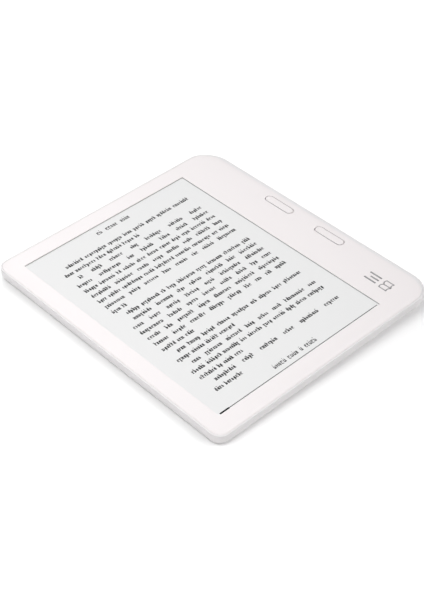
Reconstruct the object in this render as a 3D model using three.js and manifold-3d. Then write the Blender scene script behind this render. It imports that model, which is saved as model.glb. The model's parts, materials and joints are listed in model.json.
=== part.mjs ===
// Seven-inch e-reader with a side grip and two page buttons, as it comes apart on a bench.
// Millimetres. X runs from the screen side (-) to the grip (+), Y up the page, Z out of the screen.
// The origin is under the middle of the body, level with the flat of the grip's back.

import * as THREE from 'three';
import { mergeVertices } from 'three/addons/utils/BufferGeometryUtils.js';
import Module from 'manifold-3d';

const wasm = await Module();
wasm.setup();

// ---------------------------------------------------------------- driving dimensions

const WIDTH = 144.6;
const HEIGHT = 161.6;
const THICK = 9.0;
const R_SCREEN_CORNER = 6;
const R_GRIP_CORNER = 14;
const HALF_W = WIDTH / 2;
const HALF_H = HEIGHT / 2;

// rear shell: rim around the bezel, wall, floor, and the slopes of its underside
const RIM = 0.9;
const WALL = 2.6;
const FLOOR = 1.1;
const LEDGE_Z = 7.55;
const THIN_Z = 2.9;
const SIDE_EDGE_Z = 4.0;
const SIDE_SLOPE = 6.3;
const END_EDGE_Z = 4.1;
const END_SLOPE = 12.8;
const RAMP_X = [2, 30];
const GRIP_CHAMFER = 1.8;

// front bezel
const GAP = 0.3;
const PLATE_Z = 7.9;
const WINDOW = { x0: -62.1, x1: 43.6, y0: -69.8, y1: 70.75 };
const POCKET_Z = 8.45;
const POCKET_EDGE = 2.3;

// display stack, bottom to top
const FRAME_Z = [6.0, 6.65];
const PANEL_Z = [6.7, 7.48];
const GUIDE_Z = [7.5, 7.98];
const FILM_Z = [8.0, 8.3];
const SEAL_Z = [8.32, 8.43];
const FILM_EDGE = 1.9;

// bezel tabs that hook behind the shell's walls: how far in, how deep, where, and their half sizes
const TAB = { inset: 1.3, z: 6.9, sideY: [-44, 44], sideHalf: [0.5, 5], endX: [-56, 20], endHalf: [4, 0.4] };

// page buttons: cap in its slot, flange under the plate, pad and switch below it
const BUTTON_X = 63.85;
const BUTTON_Y = 17.8;
const SLOT = [5.05, 19.1];
const BUTTON_GAP = 0.4;
const CAP_Z = 7.2;
const FLANGE_GROWTH = [1.5, 1.8];
const PAD_GROWTH = [0.9, 1.2];
const PAD_Z = [6.7, 7.18];
const PAGE_TRAVEL = 0.5;
const SWITCH = { half: 2.2, top: 5.9, wellR: 1.3, wellZ: 4.7, stemR: 0.9 };

// grip board, with the page switches above and the power switch below
const BOARD = { x0: 57.5, x1: 68.8, y0: -58, y1: 65, z0: 3.6, z1: 4.4 };
const POWER = { x: 62, y: 52, r: 4.5, travel: 0.4 };
const LED = { x: 62, y: 42, r: 0.9 };
const PORT = { y: -45, z: 4.2, width: 8.94, height: 3.16, depth: 7.3, wall: 0.3 };

// main board, under the display frame
const MAIN = { x0: -58, x1: 14, y0: -40, y1: 34, z0: 5.0, z1: 5.7 };
const BATTERY = { x0: 20, x1: 55, y0: -52, y1: 36, z0: 2.4, z1: 5.6 };

const ARC_STEPS = 4;

// ---------------------------------------------------------------- shape helpers

/** A plain rectangle as a shape. */
function rect(x0, x1, y0, y1) {
  const shape = new THREE.Shape();
  shape.moveTo(x0, y0);
  shape.lineTo(x1, y0);
  shape.lineTo(x1, y1);
  shape.lineTo(x0, y1);
  shape.closePath();
  return shape;
}

/** A rectangle with one corner radius on its left side and another on its right. */
function roundRect(x0, x1, y0, y1, rLeft, rRight = rLeft) {
  const shape = new THREE.Shape();
  shape.moveTo(x0 + rLeft, y0);
  shape.lineTo(x1 - rRight, y0);
  shape.absarc(x1 - rRight, y0 + rRight, rRight, -Math.PI / 2, 0, false);
  shape.lineTo(x1, y1 - rRight);
  shape.absarc(x1 - rRight, y1 - rRight, rRight, 0, Math.PI / 2, false);
  shape.lineTo(x0 + rLeft, y1);
  shape.absarc(x0 + rLeft, y1 - rLeft, rLeft, Math.PI / 2, Math.PI, false);
  shape.lineTo(x0, y0 + rLeft);
  shape.absarc(x0 + rLeft, y0 + rLeft, rLeft, Math.PI, 1.5 * Math.PI, false);
  return shape;
}

/** The body's outline seen from the front, moved in by an inset. */
function outline(inset) {
  return roundRect(
    -HALF_W + inset, HALF_W - inset, -HALF_H + inset, HALF_H - inset,
    R_SCREEN_CORNER - Math.min(inset, R_SCREEN_CORNER - 1), R_GRIP_CORNER - inset);
}

/** The window's rectangle, grown outwards by a margin. */
function windowRect(margin) {
  return rect(WINDOW.x0 - margin, WINDOW.x1 + margin, WINDOW.y0 - margin, WINDOW.y1 + margin);
}

/** A slab of a shape between two heights. */
function slab(shape, z0, z1, curveSegments = ARC_STEPS) {
  const geometry = new THREE.ExtrudeGeometry(shape, { depth: z1 - z0, bevelEnabled: false, curveSegments });
  geometry.translate(0, 0, z0);
  return geometry;
}

/** A slab of a shape with a second shape taken out of it. */
function ring(outer, inner, z0, z1, curveSegments = ARC_STEPS) {
  outer.holes.push(inner);
  return slab(outer, z0, z1, curveSegments);
}

/** A box between two corners. */
function box(x0, x1, y0, y1, z0, z1) {
  const geometry = new THREE.BoxGeometry(x1 - x0, y1 - y0, z1 - z0);
  geometry.translate((x0 + x1) / 2, (y0 + y1) / 2, (z0 + z1) / 2);
  return geometry;
}

/** An upright cylinder between two heights. */
function post(x, y, r, z0, z1, sides = 16) {
  const geometry = new THREE.CylinderGeometry(r, r, z1 - z0, sides);
  geometry.rotateX(Math.PI / 2);
  geometry.translate(x, y, (z0 + z1) / 2);
  return geometry;
}

/** A turned piece: a closed profile of [radius, height] points spun about an upright line. */
function turned(profile, x, y, sides = 24) {
  const geometry = new THREE.LatheGeometry(profile.map(([r, z]) => new THREE.Vector2(r, z)), sides);
  geometry.rotateX(Math.PI / 2);
  geometry.translate(x, y, 0);
  return geometry;
}

/** A side view of [x, z] points drawn out along Y. */
function alongY(points, y0, y1) {
  const shape = new THREE.Shape(points.map(([x, z]) => new THREE.Vector2(x, z)));
  const geometry = new THREE.ExtrudeGeometry(shape, { depth: y1 - y0, bevelEnabled: false });
  geometry.rotateX(Math.PI / 2);
  geometry.translate(0, y1, 0);
  return geometry;
}

/** A side view of [y, z] points drawn out along X. */
function alongX(points, x0, x1) {
  const shape = new THREE.Shape(points.map(([y, z]) => new THREE.Vector2(y, z)));
  const geometry = new THREE.ExtrudeGeometry(shape, { depth: x1 - x0, bevelEnabled: false });
  geometry.rotateZ(Math.PI / 2);
  geometry.rotateY(Math.PI / 2);
  geometry.translate(x0, 0, 0);
  return geometry;
}

/** A round wire or tube along a smooth curve through points. */
function wire(points, r, steps, quarterSteps = 4) {
  const path = new THREE.CatmullRomCurve3(points.map((p) => new THREE.Vector3(...p)));
  const section = new THREE.Shape();
  section.absarc(0, 0, r, 0, 2 * Math.PI, false);
  return new THREE.ExtrudeGeometry(section, { steps, curveSegments: quarterSteps, extrudePath: path });
}

// ---------------------------------------------------------------- booleans

function toSolid(geometry) {
  const bare = geometry.clone();
  bare.deleteAttribute('normal');
  bare.deleteAttribute('uv');
  const merged = mergeVertices(bare, 1e-4);
  return new wasm.Manifold(new wasm.Mesh({
    numProp: 3,
    vertProperties: new Float32Array(merged.attributes.position.array),
    triVerts: new Uint32Array(merged.index.array),
  }));
}

function toGeometry(solid) {
  const mesh = solid.getMesh();
  const geometry = new THREE.BufferGeometry();
  geometry.setAttribute('position', new THREE.BufferAttribute(new Float32Array(mesh.vertProperties), 3));
  geometry.setIndex(new THREE.BufferAttribute(new Uint32Array(mesh.triVerts), 1));
  return geometry;
}

function cut(geometry, ...tools) {
  return toGeometry(tools.reduce((solid, tool) => solid.subtract(toSolid(tool)), toSolid(geometry)));
}

function join(geometry, ...more) {
  return toGeometry(more.reduce((solid, other) => solid.add(toSolid(other)), toSolid(geometry)));
}

function common(geometry, ...others) {
  return toGeometry(others.reduce((solid, other) => solid.intersect(toSolid(other)), toSolid(geometry)));
}

// ---------------------------------------------------------------- materials and the assembly

const FINISH = {
  bezelPlastic: { color: 0xf3efee, roughness: 0.5, metalness: 0 },
  shellPlastic: { color: 0xe9e6e5, roughness: 0.6, metalness: 0 },
  buttonPlastic: { color: 0xf1edec, roughness: 0.45, metalness: 0 },
  film: { color: 0xe9eaea, roughness: 0.75, metalness: 0 },
  clearPlastic: { color: 0xdfe6e8, roughness: 0.1, metalness: 0 },
  paper: { color: 0xd8d9d6, roughness: 0.8, metalness: 0 },
  blackFoam: { color: 0x151515, roughness: 0.9, metalness: 0 },
  silicone: { color: 0x9a9a98, roughness: 0.7, metalness: 0 },
  magnesium: { color: 0x8d9092, roughness: 0.5, metalness: 0.8 },
  steel: { color: 0xb9bcc0, roughness: 0.3, metalness: 1 },
  board: { color: 0x12402c, roughness: 0.4, metalness: 0 },
  chip: { color: 0x1c1c1e, roughness: 0.45, metalness: 0 },
  flex: { color: 0xb06a1e, roughness: 0.4, metalness: 0 },
  connector: { color: 0xe6dfce, roughness: 0.5, metalness: 0 },
  pouch: { color: 0xa9abad, roughness: 0.35, metalness: 0.6 },
  cable: { color: 0x2a2a2c, roughness: 0.6, metalness: 0 },
  magnet: { color: 0xc9c9cc, roughness: 0.25, metalness: 1 },
};

const reader = new THREE.Group();

/** Puts one piece in the assembly, with a material of its own. */
function piece(name, geometry, finish) {
  const mesh = new THREE.Mesh(geometry, new THREE.MeshStandardMaterial(FINISH[finish]));
  mesh.name = name;
  reader.add(mesh);
}

// ---------------------------------------------------------------- fasteners' places

const FRAME_SCREWS = [[-50, 74.6], [-4, 74.6], [-50, -74.4], [-4, -74.4], [48, 60], [48, -62]];
const GRIP_BOARD_SCREWS = [[60.2, -36], [60.2, 0], [60.2, 34]];
const MAIN_BOARD_SCREWS = [[-55, -37], [-55, 31], [11, -37]];
const SCREW = { shank: 0.7, head: 1.3, headHeight: 0.55, hole: 1.0, post: 1.9 };

// ---------------------------------------------------------------- rear shell

/** Side view across the body: thin under the screen, a ramp, then the full depth of the grip. */
function acrossProfile(lift, inset) {
  return [
    [-HALF_W + inset, SIDE_EDGE_Z + lift], [-HALF_W + SIDE_SLOPE + inset / 4, THIN_Z + lift],
    [RAMP_X[0] + inset / 4, THIN_Z + lift], [RAMP_X[1] + inset / 4, lift],
    [HALF_W - GRIP_CHAMFER - inset / 4, lift], [HALF_W - inset, GRIP_CHAMFER + lift - inset / 2],
    [HALF_W - inset, THICK + 1], [-HALF_W + inset, THICK + 1],
  ];
}

/** Side view along the body: the back slopes up to both short ends. */
function alongProfile(lift) {
  const far = HALF_H + 1;
  const farZ = END_EDGE_Z + END_EDGE_Z / END_SLOPE;
  return [
    [-far, farZ + lift], [-HALF_H + END_SLOPE, lift], [HALF_H - END_SLOPE, lift], [far, farZ + lift],
    [far, THICK + 1], [-far, THICK + 1],
  ];
}

function rearShell() {
  const body = common(
    slab(outline(0), 0, THICK),
    alongY(acrossProfile(0, 0), -HALF_H - 1, HALF_H + 1),
    alongX(alongProfile(0), -HALF_W - 1, HALF_W + 1));
  const cavity = common(
    slab(outline(WALL), 0, LEDGE_Z),
    alongY(acrossProfile(FLOOR, 0), -HALF_H, HALF_H),
    alongX(alongProfile(FLOOR), -HALF_W, HALF_W));
  const seat = slab(outline(RIM), LEDGE_Z - 0.05, THICK + 1);
  const portSlot = roundRect(-PORT.width / 2 - 0.15, PORT.width / 2 + 0.15,
    -PORT.height / 2 - 0.15, PORT.height / 2 + 0.15, PORT.height / 2 + 0.1);
  const portHole = slab(portSlot, 0, 12);
  portHole.rotateX(Math.PI / 2);
  portHole.rotateZ(Math.PI / 2);
  portHole.translate(HALF_W - 8, PORT.y, PORT.z);
  const powerHole = post(POWER.x, POWER.y, POWER.r + GAP, -1, 3, 32);
  const ledHole = post(LED.x, LED.y, LED.r + GAP, -1, 3, 12);
  const hollow = cut(body, cavity, seat, portHole, powerHole, ledHole);
  const framePosts = FRAME_SCREWS.map(([x, y]) =>
    post(x, y, SCREW.post, x < 2 ? THIN_Z + 0.5 : 0.5, FRAME_Z[0] - 0.05, 12));
  const boardPosts = GRIP_BOARD_SCREWS.map(([x, y]) => post(x, y, SCREW.post, 0.5, BOARD.z0 - 0.05, 12));
  const threads = FRAME_SCREWS.map(([x, y]) => post(x, y, SCREW.hole, x < 2 ? 4.4 : 2.0, 9, 10));
  threads.push(...GRIP_BOARD_SCREWS.map(([x, y]) => post(x, y, SCREW.hole, 1.6, 9, 10)));
  return cut(join(hollow, ...framePosts, ...boardPosts), ...threads);
}

piece('rear_shell', rearShell(), 'shellPlastic');

// ---------------------------------------------------------------- front bezel and its gasket

/** The pill of a page button or its slot, standing along Y. */
function pill(y, width, length) {
  const half = width / 2;
  return roundRect(BUTTON_X - half, BUTTON_X + half, y - length / 2, y + length / 2, half - 0.001);
}

function frontBezel() {
  const plate = slab(outline(RIM + GAP), PLATE_Z, THICK);
  const pocket = slab(windowRect(POCKET_EDGE + GAP), PLATE_Z - 1, POCKET_Z);
  const slots = [BUTTON_Y, -BUTTON_Y].map((y) => slab(pill(y, ...SLOT), PLATE_Z - 1, THICK + 1));
  const tabX = HALF_W - WALL - TAB.inset;
  const tabY = HALF_H - WALL - TAB.inset;
  const tab = (x, y, [halfX, halfY]) =>
    box(x - halfX, x + halfX, y - halfY, y + halfY, TAB.z, PLATE_Z + 0.2);
  const tabs = [
    ...TAB.sideY.flatMap((y) => [tab(-tabX, y, TAB.sideHalf), tab(tabX, y, TAB.sideHalf)]),
    ...TAB.endX.flatMap((x) => [tab(x, -tabY, TAB.endHalf), tab(x, tabY, TAB.endHalf)]),
  ];
  return join(cut(plate, pocket, slab(windowRect(0), PLATE_Z - 1, THICK + 1), ...slots), ...tabs);
}

piece('front_bezel', frontBezel(), 'bezelPlastic');
piece('perimeter_gasket', ring(outline(RIM + 0.1), outline(WALL - 0.05), LEDGE_Z, PLATE_Z - 0.05), 'silicone');

// ---------------------------------------------------------------- display stack

function displayFrame() {
  const plate = slab(roundRect(-66.8, 50.6, -76.4, 76.6, 3), ...FRAME_Z);
  const holes = FRAME_SCREWS.map(([x, y]) => post(x, y, SCREW.hole, 5, 8, 10));
  holes.push(...MAIN_BOARD_SCREWS.map(([x, y]) => post(x, y, SCREW.hole - 0.1, 5, 8, 10)));
  const lightening = [
    slab(roundRect(-50, -22, 42, 66, 3), 5, 8), slab(roundRect(-16, 12, 42, 66, 3), 5, 8),
    slab(roundRect(-50, -22, -66, -48, 3), 5, 8), slab(roundRect(-16, 12, -66, -48, 3), 5, 8),
  ];
  return cut(plate, ...holes, ...lightening);
}

piece('display_frame', displayFrame(), 'magnesium');
piece('epaper_panel', slab(windowRect(1.6), ...PANEL_Z), 'paper');
piece('front_light_guide', slab(rect(WINDOW.x0 - 1.6, WINDOW.x1 + 1.6, WINDOW.y0 - 0.6, WINDOW.y1 + 1.6),
  ...GUIDE_Z), 'clearPlastic');
piece('touch_film', slab(windowRect(FILM_EDGE), ...FILM_Z), 'film');
piece('window_gasket', ring(windowRect(FILM_EDGE), windowRect(0.25), ...SEAL_Z), 'blackFoam');
piece('light_bar', box(-58, 39, WINDOW.y0 - 1.7, WINDOW.y0 - 0.7, ...GUIDE_Z), 'connector');

/** A flat ribbon that leaves the screen's lower edge, folds round the frame and runs to the main board. */
function ribbon(x0, x1, zTop, yFold, zRun, yEnd) {
  const t = 0.15;
  const yStart = WINDOW.y0 - 2.0;
  return alongX([
    [yStart, zTop], [yStart, zTop + t], [yFold - t, zTop + t], [yFold - t, zRun],
    [yEnd, zRun], [yEnd, zRun + t], [yFold, zRun + t], [yFold, zTop],
  ], x0, x1);
}

const FLEX_END_Y = MAIN.y0 + 2.2;
piece('display_ribbon', ribbon(-38, -16, 6.95, -76.9, 4.55, FLEX_END_Y), 'flex');
piece('touch_and_light_ribbon', ribbon(-12, -5.9, 7.75, -77.6, 4.7, FLEX_END_Y), 'flex');

// ---------------------------------------------------------------- page buttons

for (const [name, side] of [['upper', 1], ['lower', -1]]) {
  const y = side * BUTTON_Y;
  const cap = slab(pill(y, SLOT[0] - 2 * BUTTON_GAP, SLOT[1] - 2 * BUTTON_GAP), CAP_Z, THICK);
  const flange = slab(pill(y, SLOT[0] + FLANGE_GROWTH[0], SLOT[1] + FLANGE_GROWTH[1]), CAP_Z, PLATE_Z - 0.05);
  const pad = slab(pill(y, SLOT[0] + PAD_GROWTH[0], SLOT[1] + PAD_GROWTH[1]), ...PAD_Z);
  piece(`page_button_${name}`, join(cap, flange), 'buttonPlastic');
  piece(`page_button_${name}_pad`, pad, 'silicone');
  const housing = box(BUTTON_X - SWITCH.half, BUTTON_X + SWITCH.half, y - SWITCH.half, y + SWITCH.half,
    BOARD.z1 + 0.02, SWITCH.top);
  const well = post(BUTTON_X, y, SWITCH.wellR, SWITCH.wellZ, PAD_Z[1]);
  const stem = post(BUTTON_X, y, SWITCH.stemR, SWITCH.wellZ + PAGE_TRAVEL + 0.15, PAD_Z[0] - 0.02);
  piece(`page_switch_${name}`, cut(housing, well), 'chip');
  piece(`page_switch_${name}_stem`, stem, 'silicone');
}

// ---------------------------------------------------------------- power button, on the grip's back

piece('power_button', turned([
  [0, 0.25], [3.4, 0.1], [POWER.r, 0.1], [POWER.r, FLOOR + 0.06], [5.6, FLOOR + 0.06],
  [5.6, 1.66], [0, 1.66],
], POWER.x, POWER.y, 32), 'buttonPlastic');
piece('power_switch_stem', post(POWER.x, POWER.y, 0.9, 1.7, 2.6, 16), 'silicone');
piece('power_switch', cut(
  box(POWER.x - 2.6, POWER.x + 2.6, POWER.y - 2.6, POWER.y + 2.6, 2.15, BOARD.z0 - 0.02),
  post(POWER.x, POWER.y, 1.3, 1, 2.6 + POWER.travel + 0.2, 16)), 'chip');
piece('power_light_pipe', turned([
  [0, 0.05], [LED.r, 0.05], [LED.r, FLOOR + 0.05], [1.6, FLOOR + 0.05], [1.6, 1.5], [LED.r, 1.5],
  [LED.r, 2.7], [0, 2.7],
], LED.x, LED.y, 16), 'clearPlastic');
piece('power_light', box(LED.x - 0.8, LED.x + 0.8, LED.y - 0.5, LED.y + 0.5, 2.95, BOARD.z0 - 0.02), 'connector');

// ---------------------------------------------------------------- grip board and the charging port

function gripBoard() {
  const plate = slab(roundRect(BOARD.x0, BOARD.x1, BOARD.y0, BOARD.y1, 1.5), BOARD.z0, BOARD.z1);
  const notch = box(HALF_W - PORT.depth - 0.8, HALF_W, PORT.y - PORT.width / 2 - GAP,
    PORT.y + PORT.width / 2 + GAP, 3, 5);
  return cut(plate, notch, ...GRIP_BOARD_SCREWS.map(([x, y]) => post(x, y, SCREW.hole, 3, 5, 10)));
}

/** A lying stadium of the port's section, drawn out from the board to the grip's edge. */
function portSection(shrink, x0, x1) {
  const half = PORT.height / 2 - shrink;
  const shape = roundRect(-PORT.width / 2 + shrink, PORT.width / 2 - shrink, -half, half, half - 0.001);
  const geometry = slab(shape, 0, x1 - x0);
  geometry.rotateX(Math.PI / 2);
  geometry.rotateZ(Math.PI / 2);
  geometry.translate(x0, PORT.y, PORT.z);
  return geometry;
}

const PORT_MOUTH = HALF_W - 0.5;
const PORT_BACK = PORT_MOUTH - PORT.depth;
piece('grip_board', gripBoard(), 'board');
piece('charging_port_shell', cut(portSection(0, PORT_BACK, PORT_MOUTH),
  portSection(PORT.wall, PORT_BACK + PORT.wall, PORT_MOUTH + 1)), 'steel');
piece('charging_port_tongue', box(PORT_BACK + PORT.wall + 0.05, PORT_MOUTH - 0.8, PORT.y - 3.3, PORT.y + 3.3,
  PORT.z - 0.35, PORT.z + 0.35), 'chip');
piece('grip_flex', ribbonToMain(), 'flex');

/** The flat cable from the grip board over the battery to the main board. */
function ribbonToMain() {
  const t = 0.15;
  const low = BOARD.z1 + 0.05;
  return alongY([
    [MAIN.x1 - 3, 5.75], [56.6, 5.75], [56.6, low], [59, low], [59, low + t], [56.6 + t, low + t],
    [56.6 + t, 5.75 + t], [MAIN.x1 - 3, 5.75 + t],
  ], 6, 20);
}

// ---------------------------------------------------------------- main board and what is on it

piece('main_board', cut(
  slab(roundRect(MAIN.x0, MAIN.x1, MAIN.y0, MAIN.y1, 2), MAIN.z0, MAIN.z1),
  ...MAIN_BOARD_SCREWS.map(([x, y]) => post(x, y, SCREW.hole - 0.1, 4, 7, 10))), 'board');

/** A chip under the main board: a box hanging from it by a centre, a length and a width. */
function chip(name, x, y, length, width, height, finish = 'chip') {
  piece(name, box(x - length / 2, x + length / 2, y - width / 2, y + width / 2,
    MAIN.z0 - 0.02 - height, MAIN.z0 - 0.02), finish);
}

chip('processor', -18, 4, 13, 13, 0.8);
chip('memory', -18, 20, 10, 11, 0.75);
chip('flash_storage', -36, 6, 13, 11.5, 0.75);
chip('power_manager', 2, 4, 7, 7, 0.7);
chip('screen_power_chip', -30, -24, 6, 6, 0.7);
chip('hall_sensor', -52, 12, 2.2, 1.6, 0.6);
chip('wireless_can', -44, 24, 14, 11, 0.85, 'steel');
chip('battery_socket', 10, 22, 4, 8, 0.8, 'connector');
chip('display_socket', -27, MAIN.y0 + 4, 23, 3, 0.8, 'connector');
chip('touch_socket', -9, MAIN.y0 + 4, 7.5, 3, 0.8, 'connector');

piece('wireless_antenna', box(-46, -14, 77.0, 77.3, 4.9, 7.3), 'flex');
piece('antenna_cable', wire([[-44, 34.6, 5.35], [-44.5, 46, 5.3], [-41, 60, 5.3], [-38, 70, 5.3], [-38, 76.6, 5.4]],
  0.45, 24), 'cable');

// ---------------------------------------------------------------- battery

piece('battery', slab(roundRect(BATTERY.x0, BATTERY.x1, BATTERY.y0, BATTERY.y1, 1.5), BATTERY.z0, BATTERY.z1),
  'pouch');
piece('battery_guard_board', box(24, 50, BATTERY.y1 + 0.3, BATTERY.y1 + 4.2, 3.2, 4.4), 'board');
piece('battery_lead', wire([[26, BATTERY.y1 + 4.9, 4.9], [22, 43, 5.0], [17, 41, 4.85], [14.6, 34.7, 4.5],
  [13.2, 26.5, 4.45]], 0.55, 22), 'cable');

// ---------------------------------------------------------------- cover magnets

const MAGNETS = [
  [-65.6, 46, 3, 12, THIN_Z + FLOOR + 0.4], [-65.6, -46, 3, 12, THIN_Z + FLOOR + 0.4],
  [40, 68.5, 12, 3, 2.2], [40, -68.5, 12, 3, 2.2],
];
MAGNETS.forEach(([x, y, length, width, z], index) => {
  piece(`cover_magnet_${index + 1}`, box(x - length / 2, x + length / 2, y - width / 2, y + width / 2, z, z + 1.2),
    'magnet');
});

// ---------------------------------------------------------------- screws

/** A pan-head screw: its head over a seat height, its shank running down or up from it. */
function screw(x, y, seat, shankLength, direction) {
  const { shank, head, headHeight } = SCREW;
  const top = seat + direction * headHeight;
  const tip = seat - direction * shankLength;
  const profile = [[0, tip], [shank, tip], [shank, seat], [head, seat], [head, top], [0, top]];
  return turned(direction > 0 ? profile : profile.reverse(), x, y, 10);
}

FRAME_SCREWS.forEach(([x, y], index) => {
  piece(`frame_screw_${index + 1}`, screw(x, y, FRAME_Z[1] + 0.02, 2.0, 1), 'steel');
});
GRIP_BOARD_SCREWS.forEach(([x, y], index) => {
  piece(`grip_board_screw_${index + 1}`, screw(x, y, BOARD.z1 + 0.02, 2.6, 1), 'steel');
});
MAIN_BOARD_SCREWS.forEach(([x, y], index) => {
  piece(`main_board_screw_${index + 1}`, screw(x, y, MAIN.z0 - 0.02, 1.5, -1), 'steel');
});

export default reader;
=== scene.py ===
"""Looks for a white seven-inch e-reader with a side grip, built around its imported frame.

Shapes are worked out in millimetres, in the frame's own axes: X to the grip, Y up the page, Z out of
the screen. A shape is a stack of rings that follow the body's outline, or strokes laid on the screen.
"""
import json
import math

import bpy
import numpy as np
from mathutils import Matrix, Vector


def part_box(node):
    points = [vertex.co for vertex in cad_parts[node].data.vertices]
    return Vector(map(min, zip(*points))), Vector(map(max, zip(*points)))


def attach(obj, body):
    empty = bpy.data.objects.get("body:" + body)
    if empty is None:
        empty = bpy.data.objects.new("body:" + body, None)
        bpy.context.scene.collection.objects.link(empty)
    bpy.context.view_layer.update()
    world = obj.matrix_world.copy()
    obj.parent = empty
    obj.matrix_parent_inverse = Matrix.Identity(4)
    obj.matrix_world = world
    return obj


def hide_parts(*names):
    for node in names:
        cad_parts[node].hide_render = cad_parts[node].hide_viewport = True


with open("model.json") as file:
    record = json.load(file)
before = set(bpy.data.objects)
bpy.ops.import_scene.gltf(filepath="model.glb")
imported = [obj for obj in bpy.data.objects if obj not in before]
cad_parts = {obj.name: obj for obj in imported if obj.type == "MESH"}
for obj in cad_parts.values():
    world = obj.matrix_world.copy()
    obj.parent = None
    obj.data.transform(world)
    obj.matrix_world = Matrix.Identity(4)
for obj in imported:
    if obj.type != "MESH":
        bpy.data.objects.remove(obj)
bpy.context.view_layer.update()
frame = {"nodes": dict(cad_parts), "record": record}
MM = 0.001
BODY = "reader_body"


# ---------------------------------------------------------------- sizes, from the frame

def box_mm(node):
    """Lowest and highest corner of a frame node, in millimetres."""
    low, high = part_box(node)
    return np.array(low) / MM, np.array(high) / MM


HALF_W, HALF_H, FACE_Z = box_mm("rear_shell")[1]
R_SCREEN_CORNER = 6.0
R_GRIP_CORNER = 14.0
R_LEAST = 0.4

# rear shell: rim round the bezel, ledge that the bezel's gasket lies on, wall and floor
RIM = 0.9
RIM_EDGE = 0.06
LIP = 0.16
LEDGE_Z = box_mm("perimeter_gasket")[0][2]
WALL = 2.6
FLOOR = 1.1

# front bezel: seam to the rim, underside, eased outer edge, rounded window edge
SEAM = 0.08
PLATE_LOW = box_mm("perimeter_gasket")[1][2] + 0.05
PLATE_EASE = 0.08
WINDOW_ROUND = 0.22
R_WINDOW_CORNER = 0.35
POCKET_REACH = 2.5
POCKET_GAP = 0.12

# roll of the face at its edge, and what the grip's long edge adds to it
ROLL_WIDTH = 1.1
ROLL_DEPTH = 0.1
ROLL_POWER = 2.2
GRIP_ROLL_WIDTH = 4.1
GRIP_ROLL_DEPTH = 1.05

# screen: the film's edge that the bezel covers, the print's place over the film, the seal round it, whose
# grey lip up the window's wall is partly painted shade
FILM_LOW, FILM_HIGH = box_mm("touch_film")
FILM_EDGE = 1.9
WIN_X0 = FILM_LOW[0] + FILM_EDGE
WIN_X1 = FILM_HIGH[0] - FILM_EDGE
WIN_Y0 = FILM_LOW[1] + FILM_EDGE
WIN_Y1 = FILM_HIGH[1] - FILM_EDGE
PRINT_LIFT = 0.012
PRINT_THICKNESS = 0.008
PAGE_Z = FILM_HIGH[2] + PRINT_LIFT
SEAL_LOW, SEAL_HIGH = box_mm("window_gasket")
SEAL_SHOWS = 0.05
# how far the seal's grey lip rises up the window's wall, where it paints the shade at the wall's foot
SEAL_SHADE_RISE = 0.33

# back of the shell: thin under the screen, full depth at the grip
THIN_Z = 2.9
RAMP_X0 = 2.0
RAMP_X1 = 30.0
RAMP_KNEE = 0.14
SIDE_SLOPE = 6.3
SIDE_RISE = 1.1
SIDE_KNEE = 0.3
END_SLOPE = 12.8
END_RISE = 4.1
END_KNEE = 0.16
BACK_BLEND = 6
BACK_EDGE_RADIUS = 0.9
GRIP_EDGE_RADIUS = 1.9

# samples round the outline: sides, then the arcs of the grip's and the screen's corners
SIDE_STEPS = 56
GRIP_ARC_STEPS = 30
SCREEN_ARC_STEPS = 18


# ---------------------------------------------------------------- plane curves

def rounded_ring(x0, x1, y0, y1, r_left, r_right):
    """Closed ring of points round a rectangle whose left corners and right corners have their own
    radii: four straight sides and four quarter arcs, anticlockwise from the lower left. Rings made
    with any sizes have the same number of points, so they can be joined point to point."""
    def side(a, b):
        t = np.arange(SIDE_STEPS)[:, None] / SIDE_STEPS
        return np.array(a) + t * (np.array(b, float) - np.array(a))

    def arc(cx, cy, r, start, steps):
        t = math.radians(start) + np.arange(steps) / steps * math.pi / 2
        return np.stack([cx + r * np.cos(t), cy + r * np.sin(t)], 1)

    rl, rr = r_left, r_right
    return np.concatenate([
        side((x0 + rl, y0), (x1 - rr, y0)), arc(x1 - rr, y0 + rr, rr, -90, GRIP_ARC_STEPS),
        side((x1, y0 + rr), (x1, y1 - rr)), arc(x1 - rr, y1 - rr, rr, 0, GRIP_ARC_STEPS),
        side((x1 - rr, y1), (x0 + rl, y1)), arc(x0 + rl, y1 - rl, rl, 90, SCREEN_ARC_STEPS),
        side((x0, y1 - rl), (x0, y0 + rl)), arc(x0 + rl, y0 + rl, rl, 180, SCREEN_ARC_STEPS),
    ])


def body_ring(inset):
    """The body's outline moved in by an inset."""
    return rounded_ring(-HALF_W + inset, HALF_W - inset, -HALF_H + inset, HALF_H - inset,
                        max(R_SCREEN_CORNER - inset, R_LEAST), R_GRIP_CORNER - inset)


def window_ring(grow):
    """The window's edge grown outwards, with small corner radii."""
    r = R_WINDOW_CORNER + grow
    return rounded_ring(WIN_X0 - grow, WIN_X1 + grow, WIN_Y0 - grow, WIN_Y1 + grow, r, r)


def pill_ring(cx, cy, width, length, steps=28):
    """Closed ring round a pill that stands along Y: two half circles joined by straight sides."""
    r = width / 2
    t = np.linspace(0, math.pi, steps)
    top = np.stack([cx + r * np.cos(t), cy + length / 2 - r + r * np.sin(t)], 1)
    low = np.stack([cx - r * np.cos(t), cy - length / 2 + r - r * np.sin(t)], 1)
    return np.concatenate([top, low])


# ---------------------------------------------------------------- height functions

def smooth(low, high, value):
    """Smooth step from 0 at low to 1 at high."""
    t = np.clip((value - low) / (high - low), 0, 1)
    return t * t * (3 - 2 * t)


def soft_ramp(value, round_off):
    """Zero below 0 and the value itself above it, with a rounded knee."""
    return (value + np.sqrt(value ** 2 + round_off ** 2)) / 2


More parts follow.
